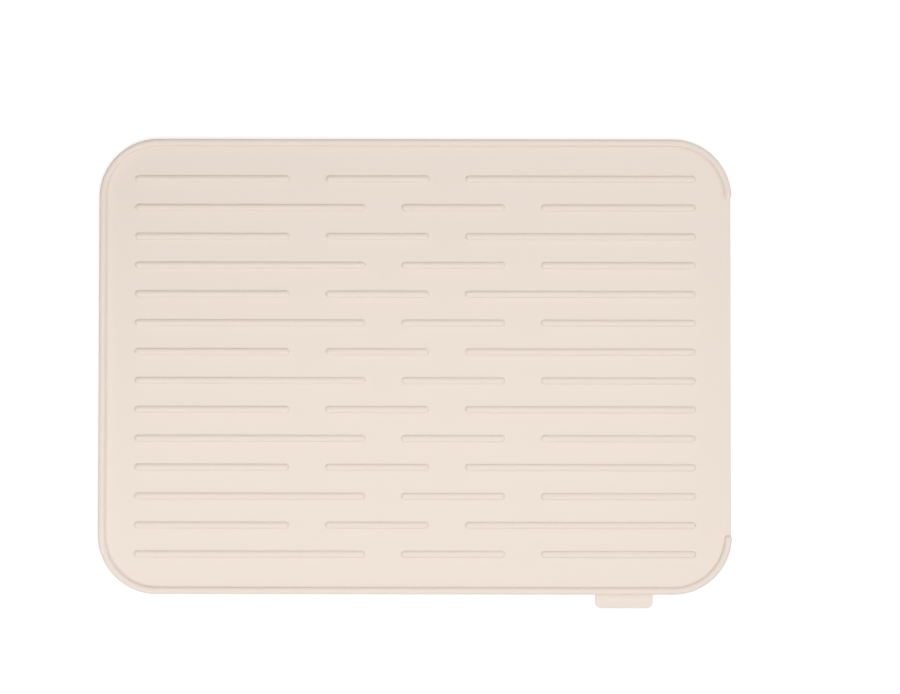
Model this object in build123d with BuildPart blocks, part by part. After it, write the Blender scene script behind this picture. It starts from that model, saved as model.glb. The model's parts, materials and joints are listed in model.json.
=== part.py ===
from build123d import *
from math import cos, radians, sin, sqrt
import os

os.makedirs("parts", exist_ok=True)

# A silicone dish drying mat, lying flat with its ribs up.
# The origin is on the underside, at the middle of the mat without its tab.
# +X points to the open edge where the water runs off, the tab stands out on the -Y side, and +Z is up.

# The mat's outline over its rim
mat_length = 445.0
mat_width = 320.0
corner_radius = 41.5

# Sheet
sheet_thickness = 2.0
drip_edge_inset = 0.6  # how far the open edge stands back from the rim's outer line
drip_edge_round = 0.8

# Rim bead
rim_width = 4.8
rim_height = 4.8
rim_foot_height = 3.2  # the straight side below the round top
rim_turn_degrees = 86.5  # how far the bead turns round each corner of the open side

# Ribs, three to a row, with every other row turned end for end
rib_rows = 14
rib_row_margin = 28.05  # from the mat's outline to the middle of the first and last row
rib_width = 4.8
rib_height = 1.9
rib_foot_height = 0.3  # the straight side below the round top
rib_margin = 25.2  # from the mat's outline to the first and last rib of a row
rib_gap = 25.4
short_rib_length = 108.8
middle_rib_length = 72.8

# Tab
tab_width = 40.2
tab_reach = 9.7  # how far it stands out of the rim
tab_from_open_end = 75.7  # from the mat's outline at its open end to the tab's middle
tab_thickness = 2.0
tab_corner_radius = 4.4
tab_edge_round = 0.9
tab_clearance = 0.3  # between the tab's rolled root and the rim

# Worked out from the sizes above
half_length = mat_length / 2
half_width = mat_width / 2
corner_x = half_length - corner_radius
corner_y = half_width - corner_radius
rim_side = rim_width / 2
rim_line_radius = corner_radius - rim_side
rim_inner_radius = corner_radius - rim_width
rim_stop_degrees = 90.0 - rim_turn_degrees
drip_edge_x = half_length - drip_edge_inset
rib_pitch = (mat_width - 2 * rib_row_margin) / (rib_rows - 1)
long_rib_length = (
    mat_length - 2 * rib_margin - 2 * rib_gap - short_rib_length - middle_rib_length
)
tab_middle_x = half_length - tab_from_open_end


def beside_open_edge(radius):
    """The point on an arc round the open side's +Y corner at which the rim bead stops."""
    stop = radians(rim_stop_degrees)
    return corner_x + radius * cos(stop), corner_y + radius * sin(stop)


def bead_section(plane, width, foot_height, height, whole):
    """A bead's cross-section, with an arc for its top: all of it, or the half on the plane's +X side."""
    side = width / 2
    rise = height - foot_height
    crown_radius = (side**2 + rise**2) / (2 * rise)
    with BuildSketch(plane) as section:
        with BuildLine():
            Polyline((0, height), (0, 0), (side, 0), (side, foot_height))
            RadiusArc((side, foot_height), (0, height), -crown_radius)
        make_face()
        if whole:
            mirror(about=Plane.YZ)
    return section.sketch


def save(piece, label):
    """Name a finished piece and write it to a file of that name."""
    piece.part.label = label
    export_step(piece.part, f"parts/{label}.step")


def build_drain_sheet():
    """The flat sheet inside the rim. It runs on between the rim's ends to a rounded open edge."""
    dome_x, dome_y = beside_open_edge(rim_line_radius)
    notch_start = (drip_edge_x, dome_y - sqrt(rim_side**2 - (drip_edge_x - dome_x) ** 2))
    with BuildPart() as drain_sheet:
        with BuildSketch():
            with BuildLine():
                Line((drip_edge_x, 0), notch_start)
                RadiusArc(notch_start, beside_open_edge(rim_inner_radius), rim_side)
                CenterArc((corner_x, corner_y), rim_inner_radius, rim_stop_degrees, rim_turn_degrees)
                Line((corner_x, half_width - rim_width), (-corner_x, half_width - rim_width))
                CenterArc((-corner_x, corner_y), rim_inner_radius, 90, 90)
                Polyline(
                    (rim_width - half_length, corner_y),
                    (rim_width - half_length, 0),
                    (drip_edge_x, 0),
                )
            make_face()
        extrude(amount=sheet_thickness)
        mirror(about=Plane.XZ)
        open_edges = drain_sheet.faces().filter_by(Axis.X).sort_by(Axis.X)[-1].edges().filter_by(Axis.Y)
        fillet(open_edges, radius=drip_edge_round)
    save(drain_sheet, "drain_sheet")


def build_rim_bead():
    """The raised bead: one cross-section swept round three sides, with a turned dome at each end."""
    dome_x, dome_y = beside_open_edge(rim_line_radius)
    sizes = rim_width, rim_foot_height, rim_height
    with BuildLine() as half_rim_line:
        CenterArc((corner_x, corner_y), rim_line_radius, rim_stop_degrees, rim_turn_degrees)
        Line((corner_x, half_width - rim_side), (-corner_x, half_width - rim_side))
        CenterArc((-corner_x, corner_y), rim_line_radius, 90, 90)
        Line((rim_side - half_length, corner_y), (rim_side - half_length, 0))
    end_plane = Plane(
        origin=(dome_x, dome_y, 0),
        x_dir=(corner_x - dome_x, corner_y - dome_y, 0),
        z_dir=half_rim_line.line % 0,
    )
    with BuildPart() as rim_bead:
        sweep(bead_section(end_plane, *sizes, True), path=half_rim_line.line)
        revolve(
            bead_section(end_plane, *sizes, False),
            axis=Axis((dome_x, dome_y, 0), (0, 0, 1)),
            revolution_arc=180,
        )
        mirror(about=Plane.XZ)
    save(rim_bead, "rim_bead")


def build_rib(label, start_x, length, y):
    """One rib with its flat foot on the sheet: a round-topped bar, cut to a slot's outline at both ends."""
    start_plane = Plane(origin=(start_x, y, sheet_thickness), x_dir=(0, 1, 0), z_dir=(1, 0, 0))
    with BuildPart() as rib:
        with BuildSketch(Plane.XY.offset(sheet_thickness)):
            with Locations((start_x + length / 2, y)):
                SlotOverall(length, rib_width)
        extrude(amount=rib_height)
        bar = bead_section(start_plane, rib_width, rib_foot_height, rib_height, True)
        extrude(bar, amount=length, mode=Mode.INTERSECT)
    save(rib, label)


def build_ribs():
    """Every row of ribs, from the +Y side to the tab's side."""
    places = "left", "middle", "right"
    lengths = short_rib_length, middle_rib_length, long_rib_length
    for row in range(rib_rows):
        y = ((rib_rows - 1) / 2 - row) * rib_pitch
        start_x = rib_margin - half_length
        for place, length in zip(places, lengths if row % 2 == 0 else lengths[::-1]):
            build_rib(f"rib_{row + 1:02d}_{place}", start_x, length, y)
            start_x += length + rib_gap


def build_grip_tab():
    """The plain tab. Its rolled root is round about the line that the tab bends on."""
    root_radius = tab_thickness / 2
    root_y = -half_width - tab_clearance - root_radius
    outer_y = -half_width - tab_reach
    plate_length = root_y - outer_y
    with BuildPart() as grip_tab:
        with BuildSketch():
            with Locations((tab_middle_x, root_y - plate_length / 2)):
                plate = Rectangle(tab_width, plate_length)
            fillet(plate.vertices().group_by(Axis.Y)[0], radius=tab_corner_radius)
        extrude(amount=tab_thickness)
        top_edges = grip_tab.faces().sort_by(Axis.Z)[-1].edges().sort_by(Axis.Y)[:-1]
        fillet(top_edges, radius=tab_edge_round)
        with Locations((tab_middle_x, root_y, root_radius)):
            Cylinder(root_radius, tab_width - 2 * tab_edge_round, rotation=(0, 90, 0))
    save(grip_tab, "grip_tab")


build_drain_sheet()
build_rim_bead()
build_ribs()
build_grip_tab()
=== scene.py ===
import json
from math import acos, cos, pi, radians, sin, tan

import bmesh
import bpy
from bpy.props import FloatProperty, FloatVectorProperty, IntProperty, PointerProperty
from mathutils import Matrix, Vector


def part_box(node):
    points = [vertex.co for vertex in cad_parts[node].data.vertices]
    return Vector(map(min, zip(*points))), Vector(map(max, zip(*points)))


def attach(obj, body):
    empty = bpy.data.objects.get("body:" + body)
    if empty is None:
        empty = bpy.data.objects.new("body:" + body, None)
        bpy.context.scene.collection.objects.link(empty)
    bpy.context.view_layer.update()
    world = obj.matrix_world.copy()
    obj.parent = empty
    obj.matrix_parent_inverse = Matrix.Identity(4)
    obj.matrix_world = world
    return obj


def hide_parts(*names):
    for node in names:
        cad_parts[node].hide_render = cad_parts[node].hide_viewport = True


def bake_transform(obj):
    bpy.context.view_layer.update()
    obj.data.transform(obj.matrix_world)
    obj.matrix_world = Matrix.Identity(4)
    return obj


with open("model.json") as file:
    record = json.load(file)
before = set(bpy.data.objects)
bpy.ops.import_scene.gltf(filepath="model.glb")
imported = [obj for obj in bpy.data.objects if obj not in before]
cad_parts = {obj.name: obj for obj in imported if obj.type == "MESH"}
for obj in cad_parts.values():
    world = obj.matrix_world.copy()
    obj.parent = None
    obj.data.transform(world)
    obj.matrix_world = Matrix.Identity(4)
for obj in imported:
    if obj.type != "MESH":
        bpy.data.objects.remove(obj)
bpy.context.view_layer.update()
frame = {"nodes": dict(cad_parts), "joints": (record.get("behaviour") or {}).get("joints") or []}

bl_info = {
    "name": "Ribbed drying mat",
    "version": (1, 0, 0),
    "blender": (4, 5, 0),
    "location": "3D View > Sidebar > Drying mat",
    "description": "Makes a moulded silicone drying mat with a rim, rows of ribs and a tab",
    "category": "Add Mesh",
}

# What the frame says of the mat, in metres
rim_low, rim_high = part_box("rim_bead")
sheet_low, sheet_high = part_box("drain_sheet")
tab_low, tab_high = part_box("grip_tab")
short_low, short_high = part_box("rib_01_left")
middle_low, middle_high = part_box("rib_01_middle")
long_low, long_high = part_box("rib_01_right")
second_low, second_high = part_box("rib_02_left")
hinge = Vector(next(j["pos_m"] for j in frame["joints"] if j["name"] == "tab_flex"))
rib_nodes = sorted(name for name in frame["nodes"] if name.startswith("rib_"))
ribs_in_a_row = 3
rib_rows = len(rib_nodes) // ribs_in_a_row

half_length = -rim_low.x
half_width = rim_high.y
open_edge_x = sheet_high.x
sheet_top = sheet_high.z

# Small sizes of the mesh itself, in metres
sunk_depth = 0.0003  # how far a foot goes into what carries it, out of sight
cove_dip = 0.00035  # how far the ends of the cove along the rim go down into the sheet
underside_step = 0.00005  # how far the rim's underside stands below the sheet's and the tab's
floor_gap = 0.00005  # how far the floor lies below the rim's underside
weld_distance = 0.000008  # points of swept shapes that are nearer than this become one
double_distance = weld_distance / 4  # and so do points of one shape that are nearer than this
sharp_angle = radians(35)  # an edge that turns by more than this is shaded sharp

# How finely round forms are divided
cove_points = 6  # on the quarter circle of the cove along the rim
edge_steps = 8  # faces across a plate's rounded edge
tab_corner_steps = 10  # faces along a corner of the tab
bend_steps = 10  # strips in the part of the tab that bends
steps_past_bend = 3  # strips of the same width beyond it

# The silicone's colour patches and its fine grain
MATERIAL_NAME = "silicone"
patch_scale = 9.0  # to the metre
grain_scale = 2200.0  # to the metre
grain_height = 0.0001  # in metres
grain_strength = 0.08

# The floor, in metres and in shares of full white
WHITE = (1, 1, 1, 1)
floor_reach = 8.0  # from its middle to its sides
shadow_reach = 0.4  # how far from the mat's middle it shows shadow
lit_floor = 0.8  # the light that falls on it by the mat where that is weakest
bounce_share = 0.8  # how much of its light it gives back to the mat

# Lamps: name, place, the point aimed at, size along x and across it, in metres, and share of the light
LAMPS = (
    ("Top lamp", (0, -0.05, 0.6), (0, -0.05, 0), (0.7, 0.3), 0.242),
    ("Back lamp", (0, 0.6, 0.7), (0, 0, 0), (2.4, 0.3), 0.215),
    ("Low front lamp", (0, -0.9, 0.35), (0, 0, 0), (2.4, 0.3), 0.045),
    ("Front right lamp", (0.5, -0.5, 0.9), (0, 0, 0), (0.8, 0.8), 0.236),
    ("Front left lamp", (-0.8, -0.5, 0.7), (-0.8, -0.5, 0), (0.5, 0.5), 0.115),
    ("Back right lamp", (0.9, 0.5, 0.6), (0, 0, 0), (0.6, 0.6), 0.056),
)

# The camera's place over the mat, in metres, and its turn. They lay the outline over the photograph's.
camera_x, camera_y = 0.02397, -0.01997
camera_turn = (radians(1.2865), radians(-0.0189), radians(0.0749))
sensor_width = 36  # in millimetres


class MatSizes(bpy.types.PropertyGroup):
    """The mat's sizes that its boxes in the frame don't give."""

    corner_radius: FloatProperty(
        name="Corner radius", description="Radius of the outline's corners",
        default=0.0415, unit="LENGTH",
    )
    rim_width: FloatProperty(
        name="Rim width", description="Width of the raised rim", default=0.0048, unit="LENGTH",
    )
    rim_foot_height: FloatProperty(
        name="Rim wall", description="Straight side below the rim's round top",
        default=0.0032, unit="LENGTH",
    )
    rim_edge_round: FloatProperty(
        name="Rim edge", description="Rounding of the rim's bottom edges", default=0.0003, unit="LENGTH",
    )
    rim_turn: FloatProperty(
        name="Rim turn", description="How far the rim turns round each corner of the open side",
        default=radians(86.5), subtype="ANGLE",
    )
    rib_foot_height: FloatProperty(
        name="Rib wall", description="Straight side below a rib's round top",
        default=0.0003, unit="LENGTH",
    )
    crease_round: FloatProperty(
        name="Crease", description="Radius where a rib or the rim meets the sheet",
        default=0.00015, unit="LENGTH",
    )
    drip_edge_round: FloatProperty(
        name="Drip edge", description="Rounding of the open edge", default=0.0008, unit="LENGTH",
    )
    tab_corner_radius: FloatProperty(
        name="Tab corners", description="Radius of the tab's outer corners",
        default=0.0044, unit="LENGTH",
    )
    tab_edge_round: FloatProperty(
        name="Tab edge", description="Rounding of the tab's upper edge", default=0.0009, unit="LENGTH",
    )
    tab_bend_length: FloatProperty(
        name="Tab bend", description="Length of the tab's root that bends", default=0.0026, unit="LENGTH",
    )
    round_steps: IntProperty(
        name="Round steps", description="Faces in a quarter turn of a dome end", default=10,
    )
    corner_steps: IntProperty(
        name="Corner steps", description="Faces along a corner of the rim", default=40,
    )


class MatFinish(bpy.types.PropertyGroup):
    """The colours and surface of the silicone."""

    base_colour: FloatVectorProperty(
        name="Colour", description="Main colour of the silicone", subtype="COLOR",
        default=(0.839, 0.743, 0.661),
    )
    drift_colour: FloatVectorProperty(
        name="Drift colour", description="Colour that the silicone drifts towards in slow patches",
        subtype="COLOR", default=(0.815, 0.727, 0.651),
    )
    roughness: FloatProperty(
        name="Roughness", description="Roughness of the matte skin", default=0.55, subtype="FACTOR",
    )


class MatStage(bpy.types.PropertyGroup):
    """The floor, the light and the camera."""

    camera_height: FloatProperty(
        name="Camera height", description="Height of the camera over the floor",
        default=1.4967, unit="LENGTH",
    )
    lens: FloatProperty(
        name="Lens", description="Focal length of the camera", default=85, unit="CAMERA",
    )
    sky_strength: FloatProperty(
        name="Sky", description="Share of the light that comes evenly from all round", default=0.237,
    )
    lamp_strength: FloatProperty(
        name="Lamps", description="Strength of all the lamps together", default=1.0,
    )
    shadow_share: FloatProperty(
        name="Shadow", description="How much of the object's shadow the white floor shows",
        default=0.45, subtype="FACTOR",
    )


# Node trees

def add_node(tree, kind, inputs=None, **settings):
    """Add a node to a tree. Each input is a value, another node's output to link, or a list of these."""
    made = tree.nodes.new(kind)
    for name, value in settings.items():
        setattr(made, name, value)
    for key, value in (inputs or {}).items():
        socket = made.inputs[key]
        for item in value if isinstance(value, list) else [value]:
            if isinstance(item, bpy.types.NodeSocket):
                tree.links.new(item, socket)
            else:
                socket.default_value = item
    return made


def result_of(tree, kind, inputs=None, **settings):
    """Add a node to a tree, and give its first output."""
    return add_node(tree, kind, inputs, **settings).outputs[0]


def maths(tree, operation, *values):
    """A maths node's output."""
    return result_of(tree, "ShaderNodeMath", dict(enumerate(values)), operation=operation)


def compared(tree, first, operation, second):
    """Whether one number is less or greater than another."""
    return result_of(tree, "FunctionNodeCompare", {"A": first, "B": second},
                     data_type="FLOAT", operation=operation)


def vector(tree, x=0.0, y=0.0, z=0.0):
    """A vector made of three numbers or sockets."""
    return result_of(tree, "ShaderNodeCombineXYZ", {"X": x, "Y": y, "Z": z})


def straight(tree, start, end):
    """A straight line as a curve."""
    return result_of(tree, "GeometryNodeCurvePrimitiveLine", {"Start": start, "End": end})


def arc(tree, points, radius, first, turn):
    """An arc about the origin as a curve."""
    return result_of(tree, "GeometryNodeCurveArc", {
        "Resolution": points, "Radius": radius, "Start Angle": first, "Sweep Angle": turn,
    }, mode="RADIUS")


def moved(tree, geometry, **inputs):
    """Geometry scaled, shifted or both."""
    return result_of(tree, "GeometryNodeTransform", {"Geometry": geometry, **inputs})


def joined(tree, pieces):
    """Several pieces of geometry as one."""
    return result_of(tree, "GeometryNodeJoinGeometry", {"Geometry": pieces})


def welded(tree, geometry, distance):
    """Geometry whose points become one where they are nearer than that."""
    return result_of(tree, "GeometryNodeMergeByDistance", {"Geometry": geometry, "Distance": distance})


def one_line(tree, curves):
    """Curves that touch end to end, as one curve."""
    edges = result_of(tree, "GeometryNodeCurveToMesh", {"Curve": joined(tree, curves)})
    return result_of(tree, "GeometryNodeMeshToCurve", {"Mesh": welded(tree, edges, double_distance)})


def level_path(tree, curve):
    """A curve along which a section stays upright."""
    return result_of(tree, "GeometryNodeSetCurveNormal", {"Curve": curve}, mode="Z_UP")


def swept(tree, path, section, capped=False):
    """A section swept along a path."""
    return result_of(tree, "GeometryNodeCurveToMesh", {
        "Curve": path, "Profile Curve": section, "Fill Caps": capped,
    })


def use_group(tree, group, inputs):
    """Run another tree, and give its result."""
    return result_of(tree, "GeometryNodeGroup", inputs, node_tree=group)


def new_tree(name, inputs):
    """A Geometry Nodes tree with one geometry output and the named inputs, as (name, type)."""
    tree = bpy.data.node_groups.new(name, "GeometryNodeTree")
    for label, kind in inputs:
        tree.interface.new_socket(label, in_out="INPUT", socket_type=f"NodeSocket{kind}")
    tree.interface.new_socket("Geometry", in_out="OUTPUT", socket_type="NodeSocketGeometry")
    return tree, tree.nodes.new("NodeGroupInput").outputs, tree.nodes.new("NodeGroupOutput").inputs


def finish_tree(tree, mesh, given, result):
    """End a tree: real geometry, smooth faces but for sharp edges, and the material."""
    real = result_of(tree, "GeometryNodeRealizeInstances", {"Geometry": mesh})
    smooth = result_of(tree, "GeometryNodeSetShadeSmooth", {"Geometry": real})
    angle = tree.nodes.new("GeometryNodeInputMeshEdgeAngle").outputs["Unsigned Angle"]
    creased = result_of(tree, "GeometryNodeSetShadeSmooth", {
        "Geometry": smooth,
        "Selection": compared(tree, angle, "GREATER_THAN", sharp_angle),
        "Shade Smooth": False,
    }, domain="EDGE")
    done = result_of(tree, "GeometryNodeSetMaterial", {
        "Geometry": creased, "Material": given["Material"],
    })
    tree.links.new(done, result["Geometry"])


SECTION_INPUTS = (
    ("Width", "Float"),
    ("Height", "Float"),
    ("Wall", "Float"),
    ("Foot Radius", "Float"),
    ("Sunk", "Float"),
    ("Steps", "Int"),
)


def section_inputs(given):
    """Those of a tree's inputs that a bead's cross-section takes."""
    return {label: given[label] for label, kind in SECTION_INPUTS}


def section_tree():
    """Half of a bead's cross-section, from its crown to the middle of its foot.

    A positive foot radius is a cove that spreads on to the surface, and a negative one rounds the edge
    off.
    """
    tree, given, result = new_tree("Half section", SECTION_INPUTS)
    height, wall, steps = given["Height"], given["Wall"], given["Steps"]
    side = maths(tree, "MULTIPLY", given["Width"], 0.5)
    rise = maths(tree, "SUBTRACT", height, wall)
    squares = maths(tree, "ADD", maths(tree, "POWER", side, 2.0), maths(tree, "POWER", rise, 2.0))
    crown_radius = maths(tree, "DIVIDE", squares, maths(tree, "MULTIPLY", rise, 2.0))
    crown_angle = maths(tree, "ARCSINE", maths(tree, "DIVIDE", side, crown_radius))
    foot_size = maths(tree, "ABSOLUTE", given["Foot Radius"])
    foot_way = maths(tree, "SIGN", given["Foot Radius"])
    foot_x = maths(tree, "ADD", side, given["Foot Radius"])
    sunk_y = maths(tree, "MULTIPLY", given["Sunk"], -1.0)

    crown_points = maths(tree, "ADD", steps, 1.0)
    crown_start = maths(tree, "SUBTRACT", pi / 2, crown_angle)
    crown = arc(tree, crown_points, crown_radius, crown_start, crown_angle)
    crown = moved(tree, crown, Translation=vector(tree, y=maths(tree, "SUBTRACT", height, crown_radius)))
    foot_points = maths(tree, "ADD", maths(tree, "MULTIPLY", steps, 0.5), 1.0)
    foot = moved(
        tree, arc(tree, foot_points, foot_size, pi, pi / 2),
        Scale=vector(tree, foot_way, 1.0, 1.0), Translation=vector(tree, foot_x, foot_size),
    )
    side_line = straight(tree, vector(tree, side, wall), vector(tree, side, foot_size))
    heel = straight(tree, vector(tree, foot_x), vector(tree, foot_x, sunk_y))
    base = straight(tree, vector(tree, foot_x, sunk_y), vector(tree, y=sunk_y))
    tree.links.new(one_line(tree, [crown, side_line, foot, heel, base]), result["Geometry"])
    return tree


def bead_tree(half_section):
    """A round-topped bead along each curve that it is given, with a turned dome at both ends."""
    tree, given, result = new_tree("Bead", (("Curve", "Geometry"),) + SECTION_INPUTS)
    section = use_group(tree, half_section, section_inputs(given))
    path = level_path(tree, given["Curve"])

    # A swept section hangs down from its path and lies on the right of it
    right = moved(tree, section, Scale=(1, -1, 1))
    left = moved(tree, section, Scale=(-1, -1, 1))

    # The whole turned dome, and then the half of it that stands out past an end
    ring = result_of(tree, "GeometryNodeCurvePrimitiveCircle", {
        "Resolution": maths(tree, "MULTIPLY", given["Steps"], 4.0), "Radius": given["Width"],
    }, mode="RADIUS")
    spoke = moved(tree, right, Translation=vector(tree, maths(tree, "MULTIPLY", given["Width"], -1.0)))
    position = result_of(tree, "GeometryNodeInputPosition")
    place = add_node(tree, "ShaderNodeSeparateXYZ", {"Vector": position}).outputs
    half_dome = result_of(tree, "GeometryNodeDeleteGeometry", {
        "Geometry": swept(tree, ring, spoke), "Selection": compared(tree, place["X"], "LESS_THAN", 0.0),
    }, domain="FACE")

    along = tree.nodes.new("GeometryNodeSplineParameter").outputs["Factor"]
    outwards = maths(tree, "SUBTRACT", maths(tree, "MULTIPLY", along, 2.0), 1.0)
    heading = result_of(tree, "ShaderNodeVectorMath", {
        0: result_of(tree, "GeometryNodeInputTangent"), "Scale": outwards,
    }, operation="SCALE")
    ends = result_of(tree, "GeometryNodeInstanceOnPoints", {
        "Points": path,
        "Selection": result_of(tree, "GeometryNodeCurveEndpointSelection"),
        "Instance": half_dome,
        "Rotation": result_of(tree, "FunctionNodeAlignRotationToVector", {"Vector": heading},
                              axis="X", pivot_axis="Z"),
    })
    ends = result_of(tree, "GeometryNodeRealizeInstances", {"Geometry": ends})
    bead = joined(tree, [swept(tree, path, right), swept(tree, path, left), ends])
    tree.links.new(welded(tree, bead, weld_distance), result["Geometry"])
    return tree


def rim_tree(bead):
    """The rim: a bead along the line that the object itself holds."""
    inputs = (("Geometry", "Geometry"),) + SECTION_INPUTS + (("Material", "Material"),)
    tree, given, result = new_tree("Rim", inputs)
    mesh = use_group(tree, bead, {"Curve": given["Geometry"], **section_inputs(given)})
    finish_tree(tree, mesh, given, result)
    return tree


def ribs_tree(bead):
    """Rows of three ribs, with every other row turned end for end."""
    tree, given, result = new_tree("Ribs", (
        ("Geometry", "Geometry"), ("Rows", "Int"), ("Pitch", "Float"), ("Margin Start", "Float"),
        ("Gap", "Float"), ("Short", "Float"), ("Middle", "Float"), ("Long", "Float"), ("Level", "Float"),
    ) + SECTION_INPUTS + (("Material", "Material"),))
    side = maths(tree, "MULTIPLY", given["Width"], 0.5)
    start = given["Margin Start"]
    lines = []
    for label in ("Short", "Middle", "Long"):
        stop = maths(tree, "ADD", start, given[label])
        dome_centres = maths(tree, "ADD", start, side), maths(tree, "SUBTRACT", stop, side)
        lines.append(straight(tree, *(vector(tree, x) for x in dome_centres)))
        start = maths(tree, "ADD", stop, given["Gap"])
    row = use_group(tree, bead, {"Curve": joined(tree, lines), **section_inputs(given)})

    last = maths(tree, "SUBTRACT", given["Rows"], 1.0)
    first_y = maths(tree, "MULTIPLY", maths(tree, "MULTIPLY", last, 0.5), given["Pitch"])
    places = result_of(tree, "GeometryNodeMeshLine", {
        "Count": given["Rows"],
        "Start Location": vector(tree, 0.0, first_y, given["Level"]),
        "Offset": vector(tree, 0.0, maths(tree, "MULTIPLY", given["Pitch"], -1.0)),
    })
    row_number = result_of(tree, "GeometryNodeInputIndex")
    half_turn = maths(tree, "MULTIPLY", maths(tree, "MODULO", row_number, 2.0), pi)
    rows = result_of(tree, "GeometryNodeInstanceOnPoints", {
        "Points": places, "Instance": row, "Rotation": vector(tree, 0.0, 0.0, half_turn),
    })
    finish_tree(tree, rows, given, result)
    return tree


def cove_tree():
    """A thin cove along a line, which rounds the crease between the sheet and what stands on it."""
    tree, given, result = new_tree("Cove", (
        ("Geometry", "Geometry"), ("Foot Radius", "Float"), ("Sunk", "Float"), ("Steps", "Int"),
        ("Material", "Material"),
    ))
    radius = given["Foot Radius"]
    below = maths(tree, "MULTIPLY", given["Sunk"], -1.0)
    hollow = arc(tree, given["Steps"], radius, pi, pi / 2)
    hollow = moved(tree, hollow, Translation=vector(tree, radius, radius))
    corners = (radius, 0.0), (radius, below), (below, below), (below, radius), (0.0, radius)
    sides = [
        straight(tree, vector(tree, *start), vector(tree, *end))
        for start, end in zip(corners, corners[1:])
    ]
    section = moved(tree, one_line(tree, [hollow, *sides]), Scale=(1, -1, 1))
    finish_tree(tree, swept(tree, level_path(tree, given["Geometry"]), section, True), given, result)
    return tree


# Lines and meshes

def line_of_arcs(name, arcs, level, steps, dip=0.0):
    """A curve object through arcs, each given as its centre, radius, first angle and turn.

    Straight runs join arcs that stand apart, and arcs that touch share a point. With a dip, both ends run
    on by that much and go down by as much.
    """
    points = []
    for (x, y), radius, first, turn in arcs:
        centre = Vector((x, y, level))
        handle = 4 / 3 * tan(turn / 4) * radius  # its length makes a Bezier segment follow the arc
        spots = []
        for angle in (first, first + turn):
            spots.append((
                centre + radius * Vector((cos(angle), sin(angle), 0)),
                handle * Vector((-sin(angle), cos(angle), 0)),
            ))
        (start, start_way), (end, end_way) = spots
        if points and (points[-1]["co"] - start).length < weld_distance:
            points[-1]["right"] = start + start_way
        else:
            points.append({"co": start, "left": None, "right": start + start_way})
        points.append({"co": end, "left": end - end_way, "right": None})
    if dip:
        first, last = points[0], points[-1]
        down = Vector((0, 0, -1))
        ahead = (first["co"] - first["right"]).normalized() + down
        beyond = (last["co"] - last["left"]).normalized() + down
        points.insert(0, {"co": first["co"] + dip * ahead, "left": None, "right": None})
        points.append({"co": last["co"] + dip * beyond, "left": None, "right": None})

    curve = bpy.data.curves.new(name, "CURVE")
    curve.dimensions = "3D"
    curve.resolution_u = steps
    spline = curve.splines.new("BEZIER")
    spline.bezier_points.add(len(points) - 1)
    for spot, point in zip(spline.bezier_points, points):
        spot.co = point["co"]
        spot.handle_left_type = "FREE" if point["left"] else "VECTOR"
        spot.handle_right_type = "FREE" if point["right"] else "VECTOR"
        if point["left"]:
            spot.handle_left = point["left"]
        if point["right"]:
            spot.handle_right = point["right"]
    made = bpy.data.objects.new(name, curve)
    bpy.context.scene.collection.objects.link(made)
    return made


def run_tree(source, tree, inputs, name):
    """Run a tree on an object and keep its result as a new plain mesh object. The source object goes."""
    modifier = source.modifiers.new("Shape", "NODES")
    modifier.node_group = tree
    sockets = {
        item.name: item.identifier for item in tree.interface.items_tree if item.in_out == "INPUT"
    }
    for label, value in inputs.items():
        modifier[sockets[label]] = value
    bpy.context.view_layer.update()
    evaluated = source.evaluated_get(bpy.context.evaluated_depsgraph_get())
    mesh = bpy.data.meshes.new_from_object(evaluated)
    source.modifiers.remove(modifier)
    bpy.data.objects.remove(source)
    return add_piece(mesh, name)


def add_piece(mesh, name):
    """Put a closed mesh in the scene as a piece, with its doubles merged and its faces outwards."""
    bm = bmesh.new()
    bm.from_mesh(mesh)
    bmesh.ops.remove_doubles(bm, verts=bm.verts, dist=double_distance)
    bmesh.ops.recalc_face_normals(bm, faces=bm.faces)
    open_edges = [edge for edge in bm.edges if len(edge.link_faces) != 2]
    if open_edges:
        raise RuntimeError(f"{name} has {len(open_edges)} open edges")
    bm.to_mesh(mesh)
    bm.free()
    mesh.name = name
    piece = bpy.data.objects.new(name, mesh)
    bpy.context.scene.collection.objects.link(piece)
    return piece


def plate(outline, low, high, rounded, radius):
    """A flat plate with that outline, with the edges that rounded() picks rounded off."""
    mesh = bpy.data.meshes.new("plate")
    bm = bmesh.new()
    bottom = bm.faces.new([bm.verts.new((x, y, low)) for x, y in outline])
    lifted = bmesh.ops.extrude_face_region(bm, geom=[bottom])["geom"]
    for item in lifted:
        if isinstance(item, bmesh.types.BMVert):
            item.co.z = high
    edges = [edge for edge in bm.edges if rounded(edge)]
    bmesh.ops.bevel(bm, geom=edges, offset=radius, offset_type="OFFSET", segments=edge_steps,
                    profile=0.5, affect="EDGES", clamp_overlap=True)
    bm.to_mesh(mesh)
    bm.free()
    return mesh


def smooth_by_angle(piece):
    """Shade a mesh smooth, but for its sharp edges."""
    mesh = piece.data
    mesh.shade_smooth()
    mesh.set_sharp_from_angle(angle=sharp_angle)


def join_meshes(name, *objects):
    """Join finished objects into one piece."""
    bm = bmesh.new()
    for item in objects:
        bm.from_mesh(item.data)
    mesh = bpy.data.meshes.new(name)
    bm.to_mesh(mesh)
    bm.free()
    for item in objects:
        bpy.data.objects.remove(item)
    return add_piece(mesh, name)


def arc_points(centre, radius, first, turn, steps):
    """Points along an arc, both ends included."""
    angles = [first + turn * step / steps for step in range(steps + 1)]
    return [(centre[0] + radius * cos(a), centre[1] + radius * sin(a)) for a in angles]


# Materials

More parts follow.
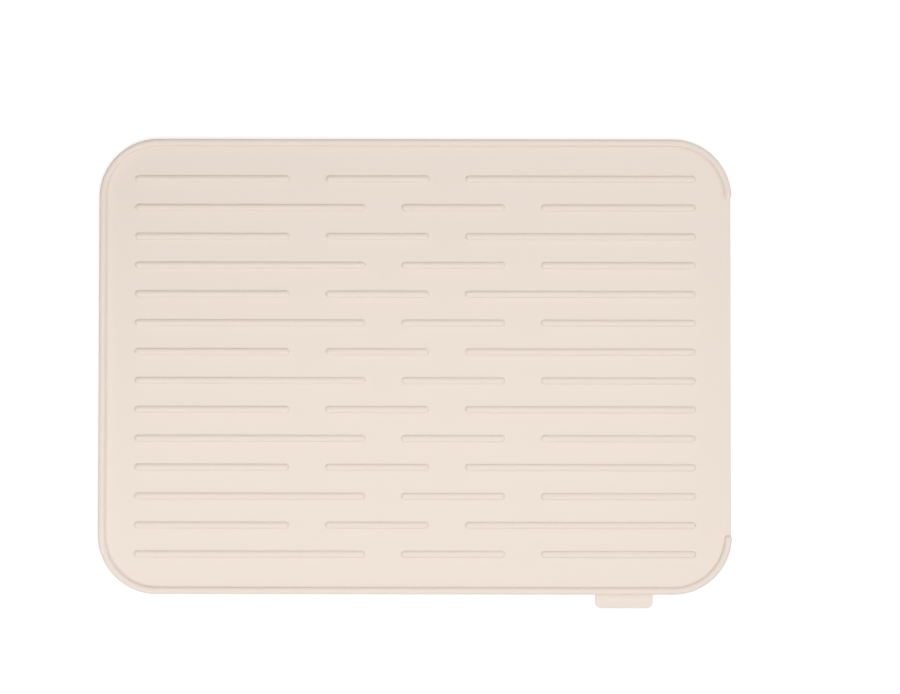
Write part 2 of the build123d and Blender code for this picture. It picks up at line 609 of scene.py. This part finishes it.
def silicone_material(finish):
    """Matte silicone: slow patches of colour, and a fine moulded grain."""
    material = bpy.data.materials.get(MATERIAL_NAME)
    if material:
        return material
    material = bpy.data.materials.new(MATERIAL_NAME)
    material.use_nodes = True
    tree = material.node_tree
    shader = tree.nodes["Principled BSDF"]
    place = tree.nodes.new("ShaderNodeTexCoord").outputs["Object"]
    patches = add_node(tree, "ShaderNodeTexNoise", {
        "Vector": place, "Scale": patch_scale, "Detail": 2.0, "Roughness": 0.5,
    }).outputs["Fac"]
    colour = add_node(tree, "ShaderNodeMix", {
        "Factor": patches, "A": (*finish.base_colour, 1), "B": (*finish.drift_colour, 1),
    }, data_type="RGBA")
    grain = add_node(tree, "ShaderNodeTexNoise", {
        "Vector": place, "Scale": grain_scale, "Detail": 3.0, "Roughness": 0.6,
    }).outputs["Fac"]
    bump = add_node(tree, "ShaderNodeBump", {
        "Height": grain, "Strength": grain_strength, "Distance": grain_height,
    })
    tree.links.new(colour.outputs["Result"], shader.inputs["Base Color"])
    tree.links.new(bump.outputs["Normal"], shader.inputs["Normal"])
    shader.inputs["Roughness"].default_value = finish.roughness
    return material


def dress(piece, finish, body, *nodes):
    """Give a finished piece its material and any body named, and hide the nodes that it stands for."""
    piece.data.materials.clear()
    piece.data.materials.append(silicone_material(finish))
    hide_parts(*nodes)
    if body:
        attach(piece, body)


# Pieces

def rim_places(sizes):
    """The corner centres' coordinates, the angle left out at the open side, and the rim line's radius."""
    corner_x = half_length - sizes.corner_radius
    corner_y = half_width - sizes.corner_radius
    stop = pi / 2 - sizes.rim_turn
    line_radius = sizes.corner_radius - sizes.rim_width / 2
    return corner_x, corner_y, stop, line_radius


def section_sizes(*values):
    """A bead's width, height, wall, foot radius, sunk depth and steps, as inputs by name."""
    return {label: value for (label, kind), value in zip(SECTION_INPUTS, values)}


class MAT_OT_sheet(bpy.types.Operator):
    """Make the flat sheet, with its rounded drip edge and the cove along the rim's foot"""

    bl_idname = "drying_mat.sheet"
    bl_label = "Drain sheet"

    def execute(self, context):
        sizes, finish = context.scene.mat_sizes, context.scene.mat_finish
        corner_x, corner_y, stop, line_radius = rim_places(sizes)
        dome_x = corner_x + line_radius * cos(stop)
        dome_y = corner_y + line_radius * sin(stop)

        # The sheet runs on to the middle of the rim, out of sight
        outline = [(open_edge_x, -dome_y), (open_edge_x, dome_y)]
        for x, y, first in ((corner_x, corner_y, 0), (-corner_x, corner_y, pi / 2),
                            (-corner_x, -corner_y, pi), (corner_x, -corner_y, 3 * pi / 2)):
            points = arc_points((x, y), line_radius, first, pi / 2, sizes.corner_steps)
            outline += [point for point in points if point[0] < dome_x]

        def on_drip_edge(edge):
            a, b = edge.verts
            level = abs(a.co.z - b.co.z) < weld_distance
            return level and min(a.co.x, b.co.x) > open_edge_x - weld_distance

        flat = plate(outline, underside_step, sheet_top, on_drip_edge, sizes.drip_edge_round)
        sheet = add_piece(flat, "flat")
        smooth_by_angle(sheet)

        # The cove follows the rim's inner wall. Its ends go down where the drip edge's rounding starts.
        inner = sizes.corner_radius - sizes.rim_width
        side = sizes.rim_width / 2
        reach = pi - stop
        meet = acos((open_edge_x - sizes.drip_edge_round - dome_x) / side) + cove_dip / side
        turn = reach - meet
        foot_line = line_of_arcs("Foot line", (
            ((dome_x, -dome_y), side, meet, turn),
            ((corner_x, -corner_y), inner, -stop, -sizes.rim_turn),
            ((-corner_x, -corner_y), inner, -pi / 2, -pi / 2),
            ((-corner_x, corner_y), inner, pi, -pi / 2),
            ((corner_x, corner_y), inner, pi / 2, -sizes.rim_turn),
            ((dome_x, dome_y), side, -reach, turn),
        ), sheet_top, sizes.corner_steps, cove_dip)
        cove = run_tree(foot_line, cove_tree(), {
            "Foot Radius": sizes.crease_round, "Sunk": sunk_depth, "Steps": cove_points,
            "Material": silicone_material(finish),
        }, "cove")
        piece = join_meshes("drain_sheet_skin", sheet, cove)
        dress(piece, finish, "mat", "drain_sheet")
        return {"FINISHED"}


class MAT_OT_rim(bpy.types.Operator):
    """Make the raised rim: one bead round three sides, with a dome at each end"""

    bl_idname = "drying_mat.rim"
    bl_label = "Rim"

    def execute(self, context):
        sizes, finish = context.scene.mat_sizes, context.scene.mat_finish
        corner_x, corner_y, stop, line_radius = rim_places(sizes)
        rim_line = line_of_arcs("Rim line", (
            ((corner_x, corner_y), line_radius, stop, sizes.rim_turn),
            ((-corner_x, corner_y), line_radius, pi / 2, pi / 2),
            ((-corner_x, -corner_y), line_radius, pi, pi / 2),
            ((corner_x, -corner_y), line_radius, 3 * pi / 2, sizes.rim_turn),
        ), 0, sizes.corner_steps)
        section = section_sizes(
            sizes.rim_width, rim_high.z, sizes.rim_foot_height, -sizes.rim_edge_round, 0.0,
            sizes.round_steps,
        )
        inputs = {**section, "Material": silicone_material(finish)}
        piece = run_tree(rim_line, rim_tree(bead_tree(section_tree())), inputs, "rim_bead_skin")
        dress(piece, finish, "mat", "rim_bead")
        return {"FINISHED"}


class MAT_OT_ribs(bpy.types.Operator):
    """Make every row of ribs"""

    bl_idname = "drying_mat.ribs"
    bl_label = "Ribs"

    def execute(self, context):
        sizes, finish = context.scene.mat_sizes, context.scene.mat_finish
        width = short_high.y - short_low.y
        height = short_high.z - sheet_top
        section = section_sizes(
            width, height, sizes.rib_foot_height, sizes.crease_round, sunk_depth, sizes.round_steps,
        )
        pattern = {
            "Rows": rib_rows,
            "Pitch": short_high.y - second_high.y,
            "Margin Start": short_low.x,
            "Gap": middle_low.x - short_high.x,
            "Short": short_high.x - short_low.x,
            "Middle": middle_high.x - middle_low.x,
            "Long": long_high.x - long_low.x,
            "Level": sheet_top,
        }
        holder = bpy.data.objects.new("Ribs", bpy.data.meshes.new("Ribs"))
        bpy.context.scene.collection.objects.link(holder)
        inputs = {**pattern, **section, "Material": silicone_material(finish)}
        piece = run_tree(holder, ribs_tree(bead_tree(section_tree())), inputs, "ribs_skin")
        dress(piece, finish, "mat", *rib_nodes)
        return {"FINISHED"}


class MAT_OT_tab(bpy.types.Operator):
    """Make the plain tab, with its root cut finely across where it would bend"""

    bl_idname = "drying_mat.tab"
    bl_label = "Grip tab"

    def execute(self, context):
        sizes, finish = context.scene.mat_sizes, context.scene.mat_finish
        radius = sizes.tab_corner_radius

        # The tab runs on to the middle of the rim, out of sight
        inside_y = -half_width + sizes.rim_width / 2
        outline = [(tab_high.x, inside_y), (tab_low.x, inside_y)]
        for x, first in ((tab_low.x + radius, pi), (tab_high.x - radius, 3 * pi / 2)):
            outline += arc_points((x, tab_low.y + radius), radius, first, pi / 2, tab_corner_steps)

        def on_top(edge):
            return min(v.co.z for v in edge.verts) > tab_high.z - weld_distance

        mesh = plate(outline, underside_step, tab_high.z, on_top, sizes.tab_edge_round)

        # Cuts across its root, so that a bend there would be smooth
        bm = bmesh.new()
        bm.from_mesh(mesh)
        for step in range(1, bend_steps + steps_past_bend + 1):
            y = hinge.y + sizes.tab_bend_length * (0.5 - step / bend_steps)
            geometry = [*bm.verts, *bm.edges, *bm.faces]
            bmesh.ops.bisect_plane(bm, geom=geometry, plane_co=(0, y, 0), plane_no=(0, 1, 0))
        bm.to_mesh(mesh)
        bm.free()
        piece = add_piece(mesh, "grip_tab_skin")
        smooth_by_angle(piece)
        dress(piece, finish, None, "grip_tab")
        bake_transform(piece)
        return {"FINISHED"}


# Stage

class MAT_OT_stage(bpy.types.Operator):
    """Make the white floor, the light and the camera"""

    bl_idname = "drying_mat.stage"
    bl_label = "Stage"

    def execute(self, context):
        stage = context.scene.mat_stage
        make_floor(stage)
        make_light(stage)
        make_camera(stage)
        context.scene.view_settings.view_transform = "Standard"
        return {"FINISHED"}


def seen_directly(tree):
    """1 for rays that come straight from the camera, or from it by a mirror or through glass."""
    rays = tree.nodes.new("ShaderNodeLightPath").outputs
    glossy = maths(tree, "MAXIMUM", rays["Is Glossy Ray"], rays["Is Transmission Ray"])
    return maths(tree, "MAXIMUM", rays["Is Camera Ray"], glossy)


def glow(tree, strength, kind="ShaderNodeEmission"):
    """White light of that strength, from a surface or, as ShaderNodeBackground, from the sky."""
    return result_of(tree, kind, {"Color": WHITE, "Strength": strength})


def diffuse(tree, share):
    """A dull surface that gives back that share of its light."""
    return result_of(tree, "ShaderNodeBsdfDiffuse", {"Color": (share, share, share, 1)})


def mixed(tree, factor, first, second):
    """The first shader where the factor is 0, and the second where it is 1."""
    return result_of(tree, "ShaderNodeMixShader", {0: factor, 1: first, 2: second})


def make_floor(stage):
    """A wide floor that is white out to its edge, and keeps the object's shadow where that is deep."""
    mesh = bpy.data.meshes.new("Floor")
    corners = [
        (-floor_reach, -floor_reach), (floor_reach, -floor_reach), (floor_reach, floor_reach),
        (-floor_reach, floor_reach),
    ]
    mesh.from_pydata([(x, y, -floor_gap) for x, y in corners], [], [(0, 1, 2, 3)])
    floor = bpy.data.objects.new("Floor", mesh)
    bpy.context.scene.collection.objects.link(floor)
    material = bpy.data.materials.new("White floor")
    material.use_nodes = True
    tree = material.node_tree
    tree.nodes.clear()
    near = result_of(tree, "ShaderNodeAddShader", {
        0: glow(tree, 1 - lit_floor * stage.shadow_share), 1: diffuse(tree, stage.shadow_share),
    })
    place = tree.nodes.new("ShaderNodeTexCoord").outputs["Object"]
    distance = add_node(tree, "ShaderNodeVectorMath", {0: place}, operation="LENGTH").outputs["Value"]
    fade = result_of(tree, "ShaderNodeMapRange", {
        "Value": distance, "From Min": shadow_reach, "From Max": 2 * shadow_reach,
    })
    white = mixed(tree, fade, near, glow(tree, 1.0))
    both = mixed(tree, seen_directly(tree), diffuse(tree, bounce_share), white)
    add_node(tree, "ShaderNodeOutputMaterial", {"Surface": both})
    mesh.materials.append(material)


def make_light(stage):
    """Even light from a pale sky, and long soft lamps."""
    world = bpy.data.worlds.new("Sky")
    bpy.context.scene.world = world
    world.use_nodes = True
    tree = world.node_tree
    tree.nodes.clear()
    sky = glow(tree, stage.sky_strength, "ShaderNodeBackground")
    white = glow(tree, 1.0, "ShaderNodeBackground")
    add_node(tree, "ShaderNodeOutputWorld", {"Surface": mixed(tree, seen_directly(tree), sky, white)})

    for name, place, aim, size, share in LAMPS:
        add_lamp(name, Vector(place), Vector(aim), size, share * stage.lamp_strength)


def add_lamp(name, place, aim, size, share):
    """A soft lamp. If it were small, it would give the mat's middle that share of a white sky's light."""
    beam = aim - place
    steepness = place.z / place.length
    straightness = beam.dot(-place) / (beam.length * place.length)
    lamp_data = bpy.data.lights.new(name, "AREA")
    lamp_data.shape = "ELLIPSE"
    lamp_data.size, lamp_data.size_y = size
    lamp_data.energy = share * pi ** 2 * place.length_squared / (steepness * straightness)
    lamp = bpy.data.objects.new(name, lamp_data)
    bpy.context.scene.collection.objects.link(lamp)
    lamp.location = place
    lamp.rotation_euler = beam.to_track_quat("-Z", "Y").to_euler()
    lamp.visible_camera = False


def make_camera(stage):
    """The photograph's view, from nearly straight above."""
    camera_data = bpy.data.cameras.new("Camera")
    camera_data.lens = stage.lens
    camera_data.sensor_width = sensor_width
    camera = bpy.data.objects.new("Camera", camera_data)
    bpy.context.scene.collection.objects.link(camera)
    camera.location = (camera_x, camera_y, stage.camera_height)
    camera.rotation_euler = camera_turn
    bpy.context.scene.camera = camera


# Panel and registration

class MAT_PT_panel(bpy.types.Panel):
    """Lists the steps that make the mat, and its sizes, finish and stage"""

    bl_idname = "MAT_PT_panel"
    bl_label = "Drying mat"
    bl_space_type = "VIEW_3D"
    bl_region_type = "UI"
    bl_category = "Drying mat"

    def draw(self, context):
        for operator in OPERATORS:
            self.layout.operator(operator.bl_idname)
        for name in GROUPS:
            group = getattr(context.scene, name)
            for item in group.bl_rna.properties:
                if item.identifier not in ("name", "rna_type"):
                    self.layout.prop(group, item.identifier)


OPERATORS = (MAT_OT_sheet, MAT_OT_rim, MAT_OT_ribs, MAT_OT_tab, MAT_OT_stage)
GROUPS = {"mat_sizes": MatSizes, "mat_finish": MatFinish, "mat_stage": MatStage}
CLASSES = (*GROUPS.values(), *OPERATORS, MAT_PT_panel)


def register():
    for cls in CLASSES:
        bpy.utils.register_class(cls)
    for name, group in GROUPS.items():
        setattr(bpy.types.Scene, name, PointerProperty(type=group))


def unregister():
    for name in GROUPS:
        delattr(bpy.types.Scene, name)
    for cls in reversed(CLASSES):
        bpy.utils.unregister_class(cls)


def main():
    register()
    bpy.ops.drying_mat.sheet()
    bpy.ops.drying_mat.rim()
    bpy.ops.drying_mat.ribs()
    bpy.ops.drying_mat.tab()
    bpy.ops.drying_mat.stage()


if __name__ == "__main__":
    main()
